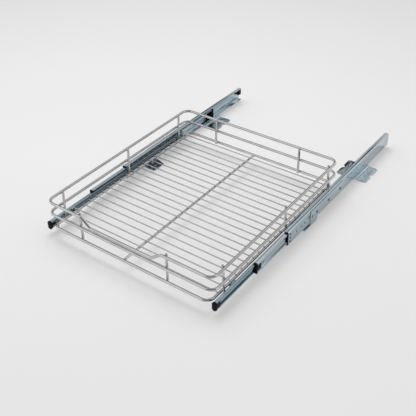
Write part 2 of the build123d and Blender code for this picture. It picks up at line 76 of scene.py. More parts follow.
# Finish of each material slot, and of the sheet pieces that differ from their slot
SLOT_FINISHES = {
    "chrome_wire": "chrome_plating",
    "zinc_steel": "zinc_plating",
    "bearing_steel": "rolled_steel",
    "fastener_steel": "fastener_plating",
    "black_plastic": "moulded_plastic",
}
OWN_FINISHES = {
    # The basket rails take the darker zinc that paints shade on them
    "basket_rail": "painted_shade_zinc",
    "front_bracket": "foot_plating",
    "rear_foot": "foot_plating",
}

# How finely round shapes are divided
RING_SIDES = 20
POST_SIDES = 16
FLOOR_WIRE_SIDES = 12
STUD_SIDES = 20
SCREW_SIDES = 24
BEAD_SIDES = 10
BEAD_ROWS = 6
BEND_STEP = radians(10)
ROUND_STEPS = 3
SCREW_ROUND_STEPS = 4
SHEET_ROUND_STEPS = 2

# Angles and distances that tell ends, edges and corners apart
END_FACE = cos(radians(30))
WIRE_SMOOTH = radians(50)
SHEET_SMOOTH = radians(40)
SCREW_SMOOTH = radians(35)
SHARP_EDGE = radians(40)
FLAT_EDGE = radians(1)
MERGE_GAP = 0.005 * MM

# Shapes of small things, as shares of their own size
RING_MERGE = 0.02
BEAD_HEIGHT = 0.45
BEAD_UNEVEN = 1 / 12
BEAD_SEED = 3
STUD_CROWN = 0.3
SCREW_CROWN = 0.4
SCREW_HEAD = 1 / 2.7
RECESS_SPAN = 1.1
RECESS_TURN = radians(17)

# Where the room's light starts to rise above its plain horizon, as the height of a direction
HORIZON_BAND = (0.1, 0.28)
# Directions of the two dark places that don't follow the camera
BACK_WAY = (-0.5, 0.55, 0.67)
SIDE_WAY = (0.72, 0.63, 0.29)
# Half angle of each dark place, and of the soft edge round it
DARK_REACHES = {
    "back_dark": (radians(16), radians(20)),
    "far_dark": (radians(24), radians(12)),
    "side_dark": (radians(12), radians(9)),
    "near_dark": (radians(40), radians(10)),
}
SENSOR_WIDTH = 36.0


class BasketLook(bpy.types.PropertyGroup):
    """Sizes of the wire basket that its boxes don't give, and its plating."""

    ring_wire: FloatProperty(
        name="Ring wire",
        description="Thickness of the ring wires",
        default=6.5 * MM,
        unit="LENGTH",
        precision=4,
    )
    ring_corner: FloatProperty(
        name="Ring corner",
        description="Bend radius of a ring's corners",
        default=18 * MM,
        unit="LENGTH",
        precision=4,
    )
    dip_centre: FloatProperty(
        name="Dip centre",
        description="Middle of the dip along X",
        default=-12 * MM,
        unit="LENGTH",
        precision=4,
    )
    dip_low: FloatProperty(
        name="Dip floor",
        description="Half length of the dip's level part",
        default=82 * MM,
        unit="LENGTH",
        precision=4,
    )
    dip_high: FloatProperty(
        name="Dip mouth",
        description="Half length of the dip at the top",
        default=108 * MM,
        unit="LENGTH",
        precision=4,
    )
    dip_drop: FloatProperty(
        name="Dip depth",
        description="How far the dip goes down",
        default=20 * MM,
        unit="LENGTH",
        precision=4,
    )
    dip_bend: FloatProperty(
        name="Dip bend",
        description="Bend radius of the dip's corners",
        default=12 * MM,
        unit="LENGTH",
        precision=4,
    )
    floor_wires: IntProperty(
        name="Floor wires",
        description="Cross wires in the basket's floor",
        default=22,
        min=2,
    )
    end_round: FloatProperty(
        name="Cut end",
        description="Share of a wire's radius that its cut end is rounded by",
        default=0.7,
        subtype="FACTOR",
    )
    weld_size: FloatProperty(
        name="Weld",
        description="Radius of a weld's squeezed-out bead",
        default=0.9 * MM,
        unit="LENGTH",
        precision=4,
    )
    chrome: FloatVectorProperty(
        name="Chrome",
        description="Colour of the plating",
        default=(0.60, 0.60, 0.605),
        subtype="COLOR",
    )
    chrome_shade: FloatVectorProperty(
        name="Chrome shade",
        description="Colour of duller plating",
        default=(0.50, 0.50, 0.505),
        subtype="COLOR",
    )
    # Painted shade: the floor wires take a darker copy of the ring chrome
    shaded_floor_chrome: FloatVectorProperty(
        name="Floor chrome",
        description="Colour of the floor's thinner plating",
        default=(0.56, 0.56, 0.565),
        subtype="COLOR",
    )
    shaded_floor_dull: FloatVectorProperty(
        name="Floor shade",
        description="Colour of its duller places",
        default=(0.47, 0.47, 0.475),
        subtype="COLOR",
    )


class SlideLook(bpy.types.PropertyGroup):
    """Finishes of the slides, their feet and plastic ends, and sizes of their small parts."""

    zinc: FloatVectorProperty(
        name="Zinc",
        description="Colour of the plated sheet",
        default=(0.47, 0.55, 0.59),
        subtype="COLOR",
    )
    zinc_shade: FloatVectorProperty(
        name="Zinc shade",
        description="Colour of its darker grain",
        default=(0.38, 0.46, 0.51),
        subtype="COLOR",
    )
    # Painted shade: darker zinc colours for the basket rails, standing in for the shade and dark reflections
    # on them
    shaded_rail_zinc: FloatVectorProperty(
        name="Greased zinc",
        description="Colour of the basket rails, under grease",
        default=(0.31, 0.41, 0.475),
        subtype="COLOR",
    )
    shaded_rail_grain: FloatVectorProperty(
        name="Greased shade",
        description="Colour of their darker grain",
        default=(0.25, 0.34, 0.40),
        subtype="COLOR",
    )
    # Painted shade: the dark colour of the basket rails' faces towards the basket
    painted_inner_shade: FloatVectorProperty(
        name="Inner face",
        description="Colour of the basket rails towards the basket",
        default=(0.16, 0.20, 0.225),
        subtype="COLOR",
    )
    # Painted light: the lighter colour given to zinc faces that look up
    painted_top_light: FloatVectorProperty(
        name="Wiped zinc",
        description="Colour of faces that look up and are wiped bright",
        default=(0.63, 0.74, 0.80),
        subtype="COLOR",
    )
    steel: FloatVectorProperty(
        name="Bright steel",
        description="Colour of balls and cages",
        default=(0.62, 0.62, 0.63),
        subtype="COLOR",
    )
    plastic: FloatVectorProperty(
        name="Plastic",
        description="Colour of caps and stops",
        default=(0.007, 0.007, 0.0075),
        subtype="COLOR",
    )
    edge_soften: FloatProperty(
        name="Moulded edge",
        description="Edge radius of plastic pieces",
        default=0.45 * MM,
        unit="LENGTH",
        precision=4,
    )
    sheet_soften: FloatProperty(
        name="Sheet edge",
        description="Edge radius of cut sheet",
        default=0.2 * MM,
        unit="LENGTH",
        precision=4,
    )
    rivet_soften: FloatProperty(
        name="Rivet edge",
        description="Edge radius of rivet heads",
        default=0.6 * MM,
        unit="LENGTH",
        precision=4,
    )
    stud_radius: FloatProperty(
        name="Guide stud",
        description="Radius of a guide's stud heads",
        default=2.4 * MM,
        unit="LENGTH",
        precision=4,
    )
    stud_proud: FloatProperty(
        name="Stud height",
        description="How far a stud head stands out of the web",
        default=0.6 * MM,
        unit="LENGTH",
        precision=4,
    )
    stud_setback: FloatProperty(
        name="Stud setback",
        description="From the rail's front end to its studs",
        default=7.0 * MM,
        unit="LENGTH",
        precision=4,
    )
    stud_rise: FloatProperty(
        name="Stud spacing",
        description="Height between neighbouring studs",
        default=9.5 * MM,
        unit="LENGTH",
        precision=4,
    )
    recess_depth: FloatProperty(
        name="Screw recess",
        description="Depth of a screw head's cross recess",
        default=0.9 * MM,
        unit="LENGTH",
        precision=4,
    )
    recess_width: FloatProperty(
        name="Screw slot",
        description="Width of a recess arm",
        default=0.7 * MM,
        unit="LENGTH",
        precision=4,
    )


class StageLook(bpy.types.PropertyGroup):
    """Camera, floor and light."""

    camera_place: FloatVectorProperty(
        name="Camera",
        description="Where the camera stands",
        default=(0.8047, -1.1444, 0.9805),
        subtype="TRANSLATION",
    )
    azimuth: FloatProperty(
        name="Azimuth",
        description="Turn of the view to the right",
        default=radians(36.57),
        subtype="ANGLE",
    )
    elevation: FloatProperty(
        name="Elevation",
        description="Tilt of the view down",
        default=radians(36.23),
        subtype="ANGLE",
    )
    roll: FloatProperty(
        name="Roll",
        description="Turn of the view about its axis",
        default=radians(-1.11),
        subtype="ANGLE",
    )
    lens: FloatProperty(
        name="Lens",
        description="Focal length on a 36 mm sensor",
        default=61.25,
    )
    floor_colour: FloatVectorProperty(
        name="Floor",
        description="Colour of the floor",
        default=(0.80, 0.795, 0.80),
        subtype="COLOR",
    )
    # Painted shade: the floor's colour further back, darker where the light falls off
    floor_far: FloatVectorProperty(
        name="Far floor",
        description="Colour of the floor further back",
        default=(0.69, 0.69, 0.695),
        subtype="COLOR",
    )
    fade_start: FloatProperty(
        name="Fade start",
        description="How far back the floor starts to change colour",
        default=0.2,
        unit="LENGTH",
    )
    fade_end: FloatProperty(
        name="Fade end",
        description="How far back the floor has its far colour",
        default=1.6,
        unit="LENGTH",
    )
    floor_glow: FloatProperty(
        name="Floor glow",
        description="Share of the floor that shows its plain colour",
        default=0.42,
        subtype="FACTOR",
    )
    floor_size: FloatProperty(
        name="Floor size",
        description="Side of the square floor",
        default=40.0,
        unit="LENGTH",
    )
    key_place: FloatVectorProperty(
        name="Key place",
        description="Where the large lamp hangs",
        default=(-0.8, 0.5, 2.3),
        subtype="TRANSLATION",
    )
    key_size: FloatProperty(
        name="Key size",
        description="Side of the large lamp",
        default=1.6,
        unit="LENGTH",
    )
    key_power: FloatProperty(
        name="Key light",
        description="Power of the large lamp overhead",
        default=36.0,
        unit="POWER",
    )
    room_light: FloatProperty(
        name="Room light",
        description="Strength of the soft light all round",
        default=1.05,
    )
    horizon: FloatProperty(
        name="Horizon",
        description="Share of the room light that is left low down",
        default=0.62,
        subtype="FACTOR",
    )
    back_dark: FloatProperty(
        name="Back dark",
        description="Share of the light that is missing high at the back",
        default=0.6,
        subtype="FACTOR",
    )
    far_dark: FloatProperty(
        name="Far dark",
        description="Share of the light that is missing at the room's far end",
        default=0.92,
        subtype="FACTOR",
    )
    side_dark: FloatProperty(
        name="Side dark",
        description="Share of the light that is missing at the right of the back",
        default=0.9,
        subtype="FACTOR",
    )
    near_dark: FloatProperty(
        name="Camera dark",
        description="Share of the light that is missing round the camera",
        default=0.9,
        subtype="FACTOR",
    )


class Value:
    """A shader value that changes over a surface. Arithmetic on it adds Math nodes."""

    def __init__(self, nodes, socket):
        self.nodes = nodes
        self.socket = socket

    def combine(self, operation, first, second):
        return self.nodes.node("ShaderNodeMath", {"operation": operation}, {0: first, 1: second})

    def __add__(self, other):
        return self.combine("ADD", self, other)

    def __sub__(self, other):
        return self.combine("SUBTRACT", self, other)

    def __rsub__(self, other):
        return self.combine("SUBTRACT", other, self)

    def __mul__(self, other):
        return self.combine("MULTIPLY", self, other)

    __radd__ = __add__
    __rmul__ = __mul__


class Nodes:
    """A node tree that is written as expressions on values."""

    # Numbers of a Mix node's two colour sockets and of its colour output
    MIX_COLOURS = (6, 7)
    MIX_RESULT = 2
    BUMP_HEIGHT = 0.2 * MM

    def __init__(self, owner, shader, coordinates, **constants):
        owner.use_nodes = True
        self.tree = owner.node_tree
        self.shader = self.tree.nodes[shader]
        self.place = self.node("ShaderNodeTexCoord", output=coordinates)
        for name, value in constants.items():
            self.shader_socket(name).default_value = value

    def node(self, kind, settings=None, inputs=None, output=0):
        """Add a node, set it up, fill or link its sockets, and return one of its outputs."""
        added = self.tree.nodes.new(kind)
        for setting, value in (settings or {}).items():
            setattr(added, setting, value)
        for key, value in (inputs or {}).items():
            if isinstance(value, Value):
                self.tree.links.new(value.socket, added.inputs[key])
            else:
                added.inputs[key].default_value = value
        return Value(self, added.outputs[output])

    def stretched(self, scale):
        """The coordinates, scaled along each axis."""
        return self.node("ShaderNodeMapping", inputs={"Vector": self.place, "Scale": scale})

    def noise(self, scale, detail=3.0, rough=0.5, place=None):
        inputs = {"Vector": place or self.place, "Scale": scale, "Detail": detail, "Roughness": rough}
        return self.node("ShaderNodeTexNoise", inputs=inputs, output="Fac")

    def sharpened(self, value, low, high):
        """Spread the band between low and high over 0 to 1."""
        inputs = {"Value": value, "From Min": low, "From Max": high}
        return self.node("ShaderNodeMapRange", {"clamp": True}, inputs, "Result")

    def dot(self, vector, direction):
        settings = {"operation": "DOT_PRODUCT"}
        return self.node("ShaderNodeVectorMath", settings, {0: vector, 1: direction}, "Value")

    def along(self, direction):
        """How far the coordinates reach along a direction."""
        return self.dot(self.place, direction)

    def looking(self, direction):
        """How far a face looks along a direction, from -1 to 1."""
        return self.dot(self.node("ShaderNodeTexCoord", output="Normal"), direction)

    def blend(self, factor, first, second):
        """Mix two colours by a value. Each is a plain colour or comes from another node."""
        inputs = {0: factor}
        for socket, colour in zip(self.MIX_COLOURS, (first, second)):
            inputs[socket] = colour if isinstance(colour, Value) else (*colour, 1.0)
        return self.node("ShaderNodeMix", {"data_type": "RGBA"}, inputs, self.MIX_RESULT)

    def bumps(self, height, strength):
        inputs = {"Height": height, "Distance": self.BUMP_HEIGHT, "Strength": strength}
        return self.node("ShaderNodeBump", inputs=inputs, output="Normal")

    def shader_socket(self, name):
        """A socket of the shader, named with _ for a space."""
        return self.shader.inputs[name.replace("_", " ")]

    def feed(self, **sockets):
        """Link values to the shader's sockets."""
        for name, value in sockets.items():
            self.tree.links.new(value.socket, self.shader_socket(name))


class Finish(Nodes):
    """A procedural material on Object coordinates. What is the same all over is set on its shader."""

    def __init__(self, name, **constants):
        self.material = bpy.data.materials.new(name)
        super().__init__(self.material, "Principled BSDF", "Object", **constants)

    def feed(self, **sockets):
        super().feed(**sockets)
        return self.material


def chrome_finish(name, bright, shade):
    """Bright plating with faint clouding, small pits and a slight ripple."""
    finish = Finish(name, Metallic=1.0)
    cloud = finish.noise(scale=38.0, detail=4.0)
    pits = finish.sharpened(finish.noise(scale=900.0, detail=2.0), low=0.66, high=0.8)
    colour = finish.blend(finish.sharpened(cloud, low=0.35, high=0.75), bright, shade)
    polish, clouding, pitting = 0.03, 0.06, 0.1
    rough = polish + clouding * cloud + pitting * pits
    normal = finish.bumps(finish.noise(scale=160.0, detail=2.0), strength=0.02)
    return finish.feed(Base_Color=colour, Roughness=rough, Normal=normal)


def zinc_finish(name, bright, shade, painted_top_light, top_light_share, inner=None):
    """Blue-passivated zinc on rolled sheet: grain along the rail, spangle, rubbed patches, and painted light
    that makes faces looking up lighter.

    Where an inner colour is given, faces that look towards the basket's middle take it as painted shade.
    """
    finish = Finish(name, Metallic=1.0)
    grain_scale = (900.0, 14.0, 900.0)
    grain = finish.noise(scale=1.0, detail=4.0, place=finish.stretched(grain_scale))
    spangle = finish.noise(scale=160.0, rough=0.6)
    rubbed = finish.sharpened(finish.noise(scale=22.0), low=0.42, high=0.72)
    grain_share, spangle_share = 0.55, 0.45
    tone = finish.sharpened(grain_share * grain + spangle_share * spangle, low=0.36, high=0.64)
    colour = finish.blend(tone, shade, bright)
    if inner is not None:
        # Painted shade: faces that look towards the basket's middle darken to the inner colour
        inward_shade_mask = finish.looking(RIGHT) * finish.along(RIGHT)
        colour = finish.blend(finish.sharpened(inward_shade_mask, low=-0.08, high=-0.16), colour, inner)
    # Painted light: faces that look up are blended towards the lighter top colour
    top_light_mask = finish.sharpened(finish.looking(UP), low=0.6, high=0.95)
    colour = finish.blend(top_light_share * top_light_mask, colour, painted_top_light)
    polish, spangling, rubbing = 0.06, 0.05, 0.06
    rough = polish + spangling * spangle + rubbing * rubbed
    normal = finish.bumps(grain, strength=0.05)
    return finish.feed(Base_Color=colour, Roughness=rough, Normal=normal)


def steel_finish(name, bright):
    """Bright rolled steel with a thin film of grease."""
    finish = Finish(name, Metallic=1.0)
    film = finish.noise(scale=120.0)
    under_grease = 0.72
    shade = [share * under_grease for share in bright]
    colour = finish.blend(finish.sharpened(film, low=0.4, high=0.7), bright, shade)
    polish, filming = 0.12, 0.2
    return finish.feed(Base_Color=colour, Roughness=polish + filming * film)


def fastener_finish(name, bright, shade):
    """Zinc-plated rivets and screws, a little duller than the sheet."""
    finish = Finish(name, Metallic=1.0)
    tumble = finish.noise(scale=700.0)
    colour = finish.blend(finish.sharpened(tumble, low=0.35, high=0.7), bright, shade)
    polish, tumbling = 0.26, 0.18
    normal = finish.bumps(tumble, strength=0.15)
    return finish.feed(Base_Color=colour, Roughness=polish + tumbling * tumble, Normal=normal)


def plastic_finish(name, black):
    """Moulded black plastic with a fine spark texture and scuffed patches."""
    finish = Finish(name, Specular_IOR_Level=0.06)
    spark = finish.noise(scale=1500.0, detail=2.0)
    scuff = finish.sharpened(finish.noise(scale=70.0, detail=4.0), low=0.5, high=0.75)
    scuffed = 3
    grey = [share * scuffed for share in black]
    colour = finish.blend(scuff, black, grey)
    polish, scuffing, sparking = 0.38, 0.14, 0.08
    rough = polish + scuffing * scuff + sparking * spark
    normal = finish.bumps(spark, strength=0.12)
    return finish.feed(Base_Color=colour, Roughness=rough, Normal=normal)


def start_piece(name, add, **settings):
    """Deselect all, add a primitive with its operator, and put its place in its mesh."""
    bpy.ops.object.select_all(action="DESELECT")
    add(**settings)
    bpy.ops.object.transform_apply(location=True, rotation=True, scale=True)
    piece = bpy.context.active_object
    piece.name = name
    return piece


def pointing(direction):
    """Turn that points a primitive's Z axis along a direction."""
    return direction.to_track_quat("Z", "Y")


def round_ends(piece, along, width, steps=ROUND_STEPS, both=False):
    """Round the rim of the end face that looks along a direction, or of both ends."""
    bpy.ops.object.mode_set(mode="EDIT")
    bpy.ops.mesh.select_mode(type="FACE")
    bpy.ops.mesh.select_all(action="DESELECT")
    shape = bmesh.from_edit_mesh(piece.data)
    for face in shape.faces:
        slant = face.normal.dot(along)
        face.select_set((abs(slant) if both else slant) > END_FACE)
    bmesh.update_edit_mesh(piece.data)
    bpy.ops.mesh.bevel(offset=width, segments=steps, affect="EDGES")
    bpy.ops.object.mode_set(mode="OBJECT")


def copies_of(piece, name, places):
    """One mesh that holds a copy of the piece at each placing matrix."""
    bpy.ops.object.select_all(action="DESELECT")
    for number, place in enumerate(places):
        copy = piece.copy()
        copy.data = piece.data.copy()
        copy.data.transform(place)
        bpy.context.scene.collection.objects.link(copy)
        copy.select_set(True)
        if number == 0:
            bpy.context.view_layer.objects.active = copy
    bpy.ops.object.join()
    joined = bpy.context.active_object
    joined.name = name
    bpy.data.objects.remove(piece)
    return joined


def dress(piece, body, finish, slot, *nodes):
    """Give a finished piece its material and body, and hide the nodes that it stands for. Its slot is not
    used.
    """
    piece.data.materials.clear()
    piece.data.materials.append(bpy.data.materials[finish])
    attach(piece, body)
    if nodes:
        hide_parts(*nodes)


def draw_ring(name, corners, bends, radius):
    """Closed ring of round wire: a circle pushed along each straight run and spun round each bend."""
    start = (corners[-1] + corners[0]) / 2
    heading = (corners[0] - start).normalized()
    ring = start_piece(
        name,
        bpy.ops.mesh.primitive_circle_add,
        vertices=RING_SIDES,
        radius=radius,
        location=start,
        rotation=pointing(heading).to_euler(),
    )
    bpy.ops.object.mode_set(mode="EDIT")
    bpy.ops.mesh.select_all(action="SELECT")
    here = start
    for corner, after, bend in zip(corners, corners[1:] + corners[:1], bends):
        leaving = (after - corner).normalized()
        turn = heading.angle(leaving)
        reach = bend * tan(turn / 2)
        entry = corner - heading * reach
        axis = heading.cross(leaving).normalized()
        centre = entry + axis.cross(heading) * bend
        bpy.ops.mesh.extrude_region_move(TRANSFORM_OT_translate={"value": entry - here})
        bpy.ops.mesh.spin(steps=ceil(turn / BEND_STEP), angle=-turn, center=centre, axis=axis)
        here = corner + leaving * reach
        heading = leaving
    bpy.ops.mesh.extrude_region_move(TRANSFORM_OT_translate={"value": start - here})
    bpy.ops.mesh.select_all(action="SELECT")
    bpy.ops.mesh.remove_doubles(threshold=radius * RING_MERGE)
    bpy.ops.mesh.normals_make_consistent(inside=False)
    bpy.ops.object.mode_set(mode="OBJECT")
    bpy.ops.object.shade_smooth()
    return ring


def draw_rod(name, low, high, radius, end_round, sides=POST_SIDES):
    """Straight round wire with slightly rounded cut ends."""
    run = high - low
    rod = start_piece(
        name,
        bpy.ops.mesh.primitive_cylinder_add,
        vertices=sides,
        radius=radius,
        depth=run.length,
        location=(low + high) / 2,
        rotation=pointing(run).to_euler(),
    )
    round_ends(rod, run.normalized(), radius * end_round, both=True)
    bpy.ops.object.shade_smooth_by_angle(angle=WIRE_SMOOTH)
    return rod


def softened_copy(node, ending, width, steps=ROUND_STEPS):
    """A copy of a CAD node with merged corners and rounded edges, and without the frame's own marks."""
    bpy.ops.object.select_all(action="DESELECT")
    source = frame["nodes"][node]
    piece = source.copy()
    piece.data = source.data.copy()
    piece.parent = None
    for key in list(piece.keys()):
        del piece[key]
    piece.name = f"{node}_{ending}"
    bpy.context.scene.collection.objects.link(piece)
    piece.select_set(True)
    bpy.context.view_layer.objects.active = piece
    bpy.ops.object.mode_set(mode="EDIT")
    bpy.ops.mesh.select_all(action="SELECT")
    bpy.ops.mesh.remove_doubles(threshold=MERGE_GAP)
    bpy.ops.mesh.dissolve_limited(angle_limit=FLAT_EDGE)
    bpy.ops.object.mode_set(mode="OBJECT")
    bevel = piece.modifiers.new("rounded edges", "BEVEL")
    bevel.width = width
    bevel.segments = steps
    bevel.limit_method = "ANGLE"
    bevel.angle_limit = SHARP_EDGE
    bpy.ops.object.modifier_apply(modifier=bevel.name)
    bpy.ops.object.shade_smooth_by_angle(angle=SHEET_SMOOTH)
    return piece


def post_names():
    """Names of the post nodes, front and rear ones first."""
    posts = [name for name in frame["nodes"] if "_post" in name]
    return sorted(posts, key=lambda name: name.startswith(SIDE_NAMES))


def post_ends(node):
    """Lower and upper end of a post's middle line, and its radius. A side post leans out at its foot."""
    low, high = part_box(node)
    radius = (high.y - low.y) / 2
    side = 1 if low.x + high.x > 0 else -1
    outer = max(abs(low.x), abs(high.x)) - radius
    inner = min(abs(low.x), abs(high.x)) + radius
    depth = (low.y + high.y) / 2
    return Vector((side * outer, depth, low.z)), Vector((side * inner, depth, high.z)), radius


def ring_line(node):
    """Lowest and highest corner of a ring's middle line."""
    low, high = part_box(node)
    radius = bpy.context.scene.organizer_basket.ring_wire / 2
    inset = Vector((radius, radius, radius))
    return low + inset, high - inset


def floor_rows(look):
    """Where each floor wire lies along Y."""
    low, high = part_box("floor_wires")
    radius = (high.z - low.z) / 2
    pitch = (high.y - low.y - 2 * radius) / (look.floor_wires - 1)
    return [low.y + radius + number * pitch for number in range(look.floor_wires)]


class ORGANIZER_OT_finishes(bpy.types.Operator):
    """Make the finishes and put them on the CAD nodes"""

    bl_idname = "organizer.finishes"
    bl_label = "Finishes"

    def execute(self, context):
        basket = context.scene.organizer_basket
        slides = context.scene.organizer_slides
        chrome_finish("chrome_plating", basket.chrome, basket.chrome_shade)
        # Painted shade: a darker copy of the chrome for the floor wires
        chrome_finish("shaded_floor_plating", basket.shaded_floor_chrome, basket.shaded_floor_dull)
        plated = (slides.zinc, slides.zinc_shade)
        shaded_rail_zinc = (slides.shaded_rail_zinc, slides.shaded_rail_grain)
        # Share of painted top light: full on the rails, less on brackets and feet, least on the basket rails
        zinc_finish("zinc_plating", *plated, slides.painted_top_light, top_light_share=1.0)
        zinc_finish("foot_plating", *plated, slides.painted_top_light, top_light_share=0.4)
        # Painted shade: the basket rails get darker zinc, darker still on faces towards the basket
        zinc_finish("painted_shade_zinc", *shaded_rail_zinc, slides.painted_top_light, top_light_share=0.3, inner=slides.painted_inner_shade)
        steel_finish("rolled_steel", slides.steel)
        fastener_finish("fastener_plating", *plated)
        plastic_finish("moulded_plastic", slides.plastic)
        for part in frame["record"]["subparts"]:
            materials = frame["nodes"][part["node"]].data.materials
            materials.clear()
            materials.append(bpy.data.materials[SLOT_FINISHES[part["material_slot"]]])
        return {"FINISHED"}


class ORGANIZER_OT_rings(bpy.types.Operator):
    """Bend the three ring wires, the top one with its dip"""

    bl_idname = "organizer.rings"
    bl_label = "Ring wires"

    def execute(self, context):
        look = context.scene.organizer_basket
        for node in RINGS:
            low, high = ring_line(node)
            corners = [
                Vector((low.x, low.y, high.z)),
                Vector((high.x, low.y, high.z)),
                Vector((high.x, high.y, high.z)),
                Vector((low.x, high.y, high.z)),
            ]
            bends = [look.ring_corner] * len(corners)
            if node == "top_ring":
                dip = [
                    Vector((look.dip_centre + across, low.y, high.z - drop))
                    for across, drop in (
                        (-look.dip_high, 0),
                        (-look.dip_low, look.dip_drop),
                        (look.dip_low, look.dip_drop),
                        (look.dip_high, 0),
                    )
                ]
                corners[1:1] = dip
                bends[1:1] = [look.dip_bend] * len(dip)
            ring = draw_ring(f"{node}_wire", corners, bends, look.ring_wire / 2)
            dress(ring, "basket", "chrome_plating", "chrome_wire", node)
        return {"FINISHED"}


class ORGANIZER_OT_posts(bpy.types.Operator):
    """Cut the posts that stand between the rings"""

    bl_idname = "organizer.posts"
    bl_label = "Posts"

    def execute(self, context):
        look = context.scene.organizer_basket
        for node in post_names():
            foot, head, radius = post_ends(node)
            post = draw_rod(f"{node}_wire", foot, head, radius, look.end_round)
            dress(post, "basket", "chrome_plating", "chrome_wire", node)
        return {"FINISHED"}


class ORGANIZER_OT_floor(bpy.types.Operator):
    """Lay the floor's cross wires and the bar under them"""

    bl_idname = "organizer.floor_wires"
    bl_label = "Basket floor"

    def execute(self, context):
        look = context.scene.organizer_basket
        low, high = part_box("floor_wires")
        radius = (high.z - low.z) / 2
        rows = floor_rows(look)
        left_end = Vector((low.x, rows[0], low.z + radius))
        right_end = Vector((high.x, rows[0], low.z + radius))
        wire = draw_rod("floor_wire", left_end, right_end, radius, look.end_round, FLOOR_WIRE_SIDES)
        places = [Matrix.Translation((0, row - rows[0], 0)) for row in rows]
        floor = copies_of(wire, "floor_wires_laid", places)
        dress(floor, "basket", "shaded_floor_plating", "chrome_wire", "floor_wires")
        low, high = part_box("centre_bar")
        radius = (high.z - low.z) / 2
        front_end = low + Vector((radius, 0, radius))
        rear_end = Vector((front_end.x, high.y, front_end.z))
        bar = draw_rod("centre_bar_wire", front_end, rear_end, radius, look.end_round)
        dress(bar, "basket", "shaded_floor_plating", "chrome_wire", "centre_bar")
        return {"FINISHED"}


class ORGANIZER_OT_welds(bpy.types.Operator):
    """Squeeze a small weld bead out where wires cross"""

    bl_idname = "organizer.welds"
    bl_label = "Weld beads"

    def places(self, look):
        """Point and direction across each crossing of two wires."""
        for node in post_names():
            foot, head, radius = post_ends(node)
            for ring in RINGS:
                low, high = ring_line(ring)
                middle = foot.lerp(head, (high.z - foot.z) / (head.z - foot.z))
                if node.startswith(SIDE_NAMES):
                    side = 1 if middle.x > 0 else -1
                    across = Vector((high.x - abs(middle.x), 0, 0)).normalized() * side
                else:
                    across = Vector((0, -1 if node.startswith("front") else 1, 0))
                yield middle + across * radius, across
        floor_low, floor_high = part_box("floor_wires")
        ring_low, ring_high = ring_line("bottom_ring")
        bar_low, bar_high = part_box("centre_bar")
        for row in floor_rows(look):
            for x in (ring_low.x, (bar_low.x + bar_high.x) / 2, ring_high.x):
                yield Vector((x, row, floor_low.z)), Vector(UP)

    def execute(self, context):
        look = context.scene.organizer_basket
        bead = start_piece(
            "weld_bead",
            bpy.ops.mesh.primitive_uv_sphere_add,
            segments=BEAD_SIDES,
            ring_count=BEAD_ROWS,
            radius=look.weld_size,
        )
        bpy.ops.object.mode_set(mode="EDIT")
        bpy.ops.mesh.select_all(action="SELECT")
        bpy.ops.transform.resize(value=(1, 1, BEAD_HEIGHT))
        bpy.ops.transform.vertex_random(offset=look.weld_size * BEAD_UNEVEN, seed=BEAD_SEED)
        bpy.ops.object.mode_set(mode="OBJECT")
        bpy.ops.object.shade_smooth()
        places = [
            Matrix.Translation(point) @ pointing(across).to_matrix().to_4x4()
            for point, across in self.places(look)
        ]
        beads = copies_of(bead, "weld_beads", places)
        dress(beads, "basket", "chrome_plating", "chrome_wire")
        return {"FINISHED"}


class ORGANIZER_OT_plastics(bpy.types.Operator):
    """Round the edges of the caps, guides, stops and bumpers as moulding does"""

    bl_idname = "organizer.plastics"
    bl_label = "Caps and stops"

    def execute(self, context):
        look = context.scene.organizer_slides
        for body, nodes in frame["record"]["behaviour"]["bodies"].items():
            for node in nodes:
                if node.endswith(PLASTIC_ENDS):
                    piece = softened_copy(node, "moulded", look.edge_soften)
                    dress(piece, body, "moulded_plastic", "black_plastic", node)
        return {"FINISHED"}


class ORGANIZER_OT_guide_studs(bpy.types.Operator):
    """Set the three black studs that hold each front guide in the cabinet rail's web"""

    bl_idname = "organizer.guide_studs"
    bl_label = "Guide studs"

    def execute(self, context):
        look = context.scene.organizer_slides
        for side_name, side in SIDES:
            low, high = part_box(f"{side_name}_cabinet_rail")
            stud = start_piece(
                "guide_stud",
                bpy.ops.mesh.primitive_cylinder_add,
                vertices=STUD_SIDES,
                radius=look.stud_radius,
                depth=2 * look.stud_proud,
                rotation=(0, side * pi / 2, 0),
            )
            round_ends(stud, side * Vector(RIGHT), look.stud_radius * STUD_CROWN)
            bpy.ops.object.shade_smooth_by_angle(angle=WIRE_SMOOTH)
            outer_x = high.x if side > 0 else low.x
            middle_z = (low.z + high.z) / 2
            places = [
                Matrix.Translation((outer_x, low.y + look.stud_setback, middle_z + rise))
                for rise in (-look.stud_rise, 0, look.stud_rise)
            ]
            studs = copies_of(stud, f"{side_name}_guide_studs", places)
            dress(studs, "cabinet_rails", "moulded_plastic", "black_plastic")
        return {"FINISHED"}


class ORGANIZER_OT_sheet_metal(bpy.types.Operator):
    """Break the sharp edges of rails, brackets, feet, clips, cages and rivets, and smooth their bends"""

    bl_idname = "organizer.sheet_metal"
    bl_label = "Rails and feet"

    def execute(self, context):
        look = context.scene.organizer_slides
        slots = {part["node"]: part["material_slot"] for part in frame["record"]["subparts"]}
        for body, nodes in frame["record"]["behaviour"]["bodies"].items():
            for node in nodes:
                slot = slots[node]
                if slot in SHEET_SLOTS and not node.endswith("clip_screws"):
                    width = look.rivet_soften if node.endswith("rivets") else look.sheet_soften
                    piece = softened_copy(node, "finished", width, SHEET_ROUND_STEPS)
                    kind = node.removeprefix("left_").removeprefix("right_")
                    finish = OWN_FINISHES.get(kind, SLOT_FINISHES[slot])
                    dress(piece, body, finish, slot, node)
        return {"FINISHED"}


